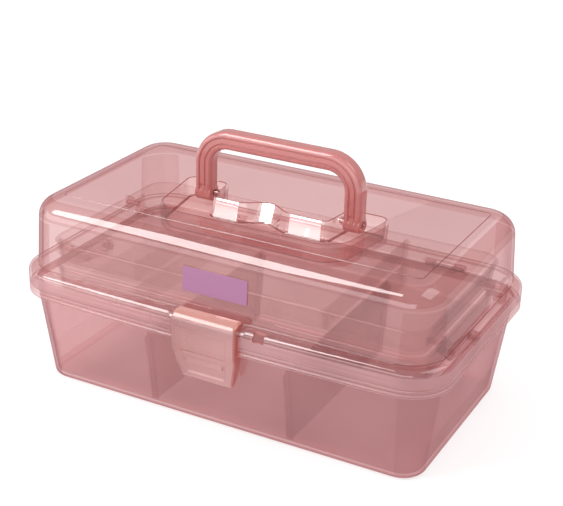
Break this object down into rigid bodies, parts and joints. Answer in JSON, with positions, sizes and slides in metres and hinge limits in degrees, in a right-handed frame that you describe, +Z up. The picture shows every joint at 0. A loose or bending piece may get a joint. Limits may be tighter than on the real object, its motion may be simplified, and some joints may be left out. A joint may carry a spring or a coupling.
{
  "type": "art supply box",
  "caption": "Moulded clear plastic art case with a front latch, a fold-down carrying handle, and trays that rise level as the lid is opened.",
  "frame": {"origin": "middle of the underside of the closed box", "axes": "+X along the length of the box, +Y towards the hinges at the back, +Z up; the latch is at -Y"},
  "size_m": [0.33, 0.2036, 0.1874],
  "materials": {
    "clear_pink": "smooth translucent pink polypropylene, glossy outside",
    "handle_pink": "thicker, deeper pink plastic with a moulded gloss",
    "label_lilac": "satin printed film, blank",
    "pin_steel": "drawn wire, satin"
  },
  "bodies": {
    "base": {"base_tub": "clear_pink", "base_divider_left": "clear_pink", "base_divider_right": "clear_pink", "hinge_pin_left": "pin_steel", "hinge_pin_right": "pin_steel", "arm_pin_left": "handle_pink", "arm_pin_right": "handle_pink"},
    "lid": {"lid_shell": "clear_pink", "front_label": "label_lilac", "handle_pin_left": "handle_pink", "handle_pin_right": "handle_pink", "latch_pin": "pin_steel", "lower_tray_lid_pin_left": "handle_pink", "lower_tray_lid_pin_right": "handle_pink", "upper_tray_lid_pin_left": "handle_pink", "upper_tray_lid_pin_right": "handle_pink"},
    "handle": {"handle": "handle_pink"},
    "latch": {"latch": "handle_pink"},
    "left_arm": {"support_arm_left": "clear_pink", "lower_tray_arm_pin_left": "handle_pink", "upper_tray_arm_pin_left": "handle_pink"},
    "right_arm": {"support_arm_right": "clear_pink", "lower_tray_arm_pin_right": "handle_pink", "upper_tray_arm_pin_right": "handle_pink"},
    "lower_tray": {"lower_tray": "clear_pink", "lower_tray_divider_left": "clear_pink", "lower_tray_divider_right": "clear_pink"},
    "upper_tray": {"upper_tray": "clear_pink", "upper_tray_divider_left": "clear_pink", "upper_tray_divider_right": "clear_pink"}
  },
  "joints": [
    {"name": "lid_hinge", "type": "hinge", "parent": "base", "child": "lid", "pos_m": [0, 0.0976, 0.076], "axis": [-1, 0, 0], "range_deg": [0, 100]},
    {"name": "left_arm_pivot", "type": "hinge", "parent": "base", "child": "left_arm", "pos_m": [-0.151, 0.0076, 0.071], "axis": [-1, 0, 0], "range_deg": [0, 100]},
    {"name": "right_arm_pivot", "type": "hinge", "parent": "base", "child": "right_arm", "pos_m": [0.151, 0.0076, 0.071], "axis": [-1, 0, 0], "range_deg": [0, 100]},
    {"name": "lower_tray_pivot", "type": "hinge", "parent": "lid", "child": "lower_tray", "pos_m": [0, 0.057, 0.083], "axis": [-1, 0, 0], "range_deg": [-100, 0]},
    {"name": "upper_tray_pivot", "type": "hinge", "parent": "lid", "child": "upper_tray", "pos_m": [0, 0.037, 0.0985], "axis": [-1, 0, 0], "range_deg": [-100, 0]},
    {"name": "latch_hinge", "type": "hinge", "parent": "lid", "child": "latch", "pos_m": [0, -0.095, 0.0862], "axis": [-1, 0, 0], "range_deg": [0, 100]},
    {"name": "handle_hinge", "type": "hinge", "parent": "lid", "child": "handle", "pos_m": [0, 0.004, 0.1375], "axis": [1, 0, 0], "range_deg": [0, 94]}
  ],
  "couplings": [
    {"joint": "left_arm_pivot", "follows": "lid_hinge", "ratio": 1},
    {"joint": "right_arm_pivot", "follows": "lid_hinge", "ratio": 1},
    {"joint": "lower_tray_pivot", "follows": "lid_hinge", "ratio": -1},
    {"joint": "upper_tray_pivot", "follows": "lid_hinge", "ratio": -1}
  ]
}
